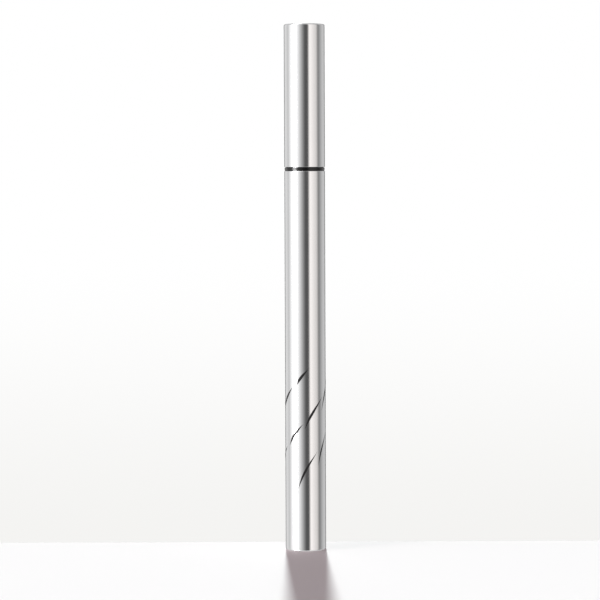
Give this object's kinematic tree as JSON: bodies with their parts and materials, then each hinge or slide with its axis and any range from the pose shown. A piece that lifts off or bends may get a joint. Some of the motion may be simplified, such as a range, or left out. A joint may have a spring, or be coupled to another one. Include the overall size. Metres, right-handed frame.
{
  "type": "liquid eyeliner pen",
  "caption": "Slim capped liquid eyeliner pen: polished metal barrel and pull-off cap, black band and tapered nose, fine brush nib fed from an ink tank through a finned regulator.",
  "frame": {"origin": "centre of the flat base, on the surface the pen stands on", "axes": "+Z along the pen's axis from the base to the cap; the pen is round, so X and Y are free"},
  "size_m": [0.0106, 0.0106, 0.1365],
  "materials": {
    "polished_aluminium": "polished, clear anodised, near mirror",
    "gloss_black": "high gloss moulded",
    "nib_fibre": "fine fibre, soaked in black ink",
    "relay_fibre": "bonded fibre rod, inked",
    "tank_plastic": "natural polypropylene, satin",
    "collector_plastic": "natural moulded, satin",
    "liner_plastic": "black moulded, satin",
    "seal_rubber": "matte black nitrile",
    "gasket_rubber": "natural soft elastomer, matte",
    "ball_steel": "ground stainless steel ball",
    "spring_steel": "drawn stainless wire"
  },
  "bodies": {
    "barrel": {"barrel_sleeve": "polished_aluminium", "ink_tank": "tank_plastic", "tail_plug": "tank_plastic", "tail_seal": "seal_rubber", "collector": "collector_plastic", "relay_core": "relay_fibre", "nose_cone": "gloss_black", "nose_seal": "seal_rubber", "tip_sleeve": "gloss_black", "brush_nib": "nib_fibre"},
    "ball": {"agitator_ball": "ball_steel"},
    "cap": {"cap_sleeve": "polished_aluminium", "cap_liner": "liner_plastic", "cap_spring": "spring_steel", "spring_stop": "liner_plastic"},
    "inner_cap": {"inner_cap": "liner_plastic", "seal_gasket": "gasket_rubber"}
  },
  "joints": [
    {"name": "cap_pull", "type": "slide", "parent": "barrel", "child": "cap", "axis": [0, 0, 1], "range_m": [0, 0.045]},
    {"name": "inner_cap_travel", "type": "slide", "parent": "cap", "child": "inner_cap", "axis": [0, 0, -1], "range_m": [0, 0.0015], "deforming": ["cap_spring"]},
    {"name": "ball_rattle", "type": "slide", "parent": "barrel", "child": "ball", "axis": [0, 0, 1], "range_m": [0, 0.048]}
  ],
  "couplings": [
    {"joint": "inner_cap_travel", "follows": "cap_pull", "ratio": 0.0333}
  ]
}
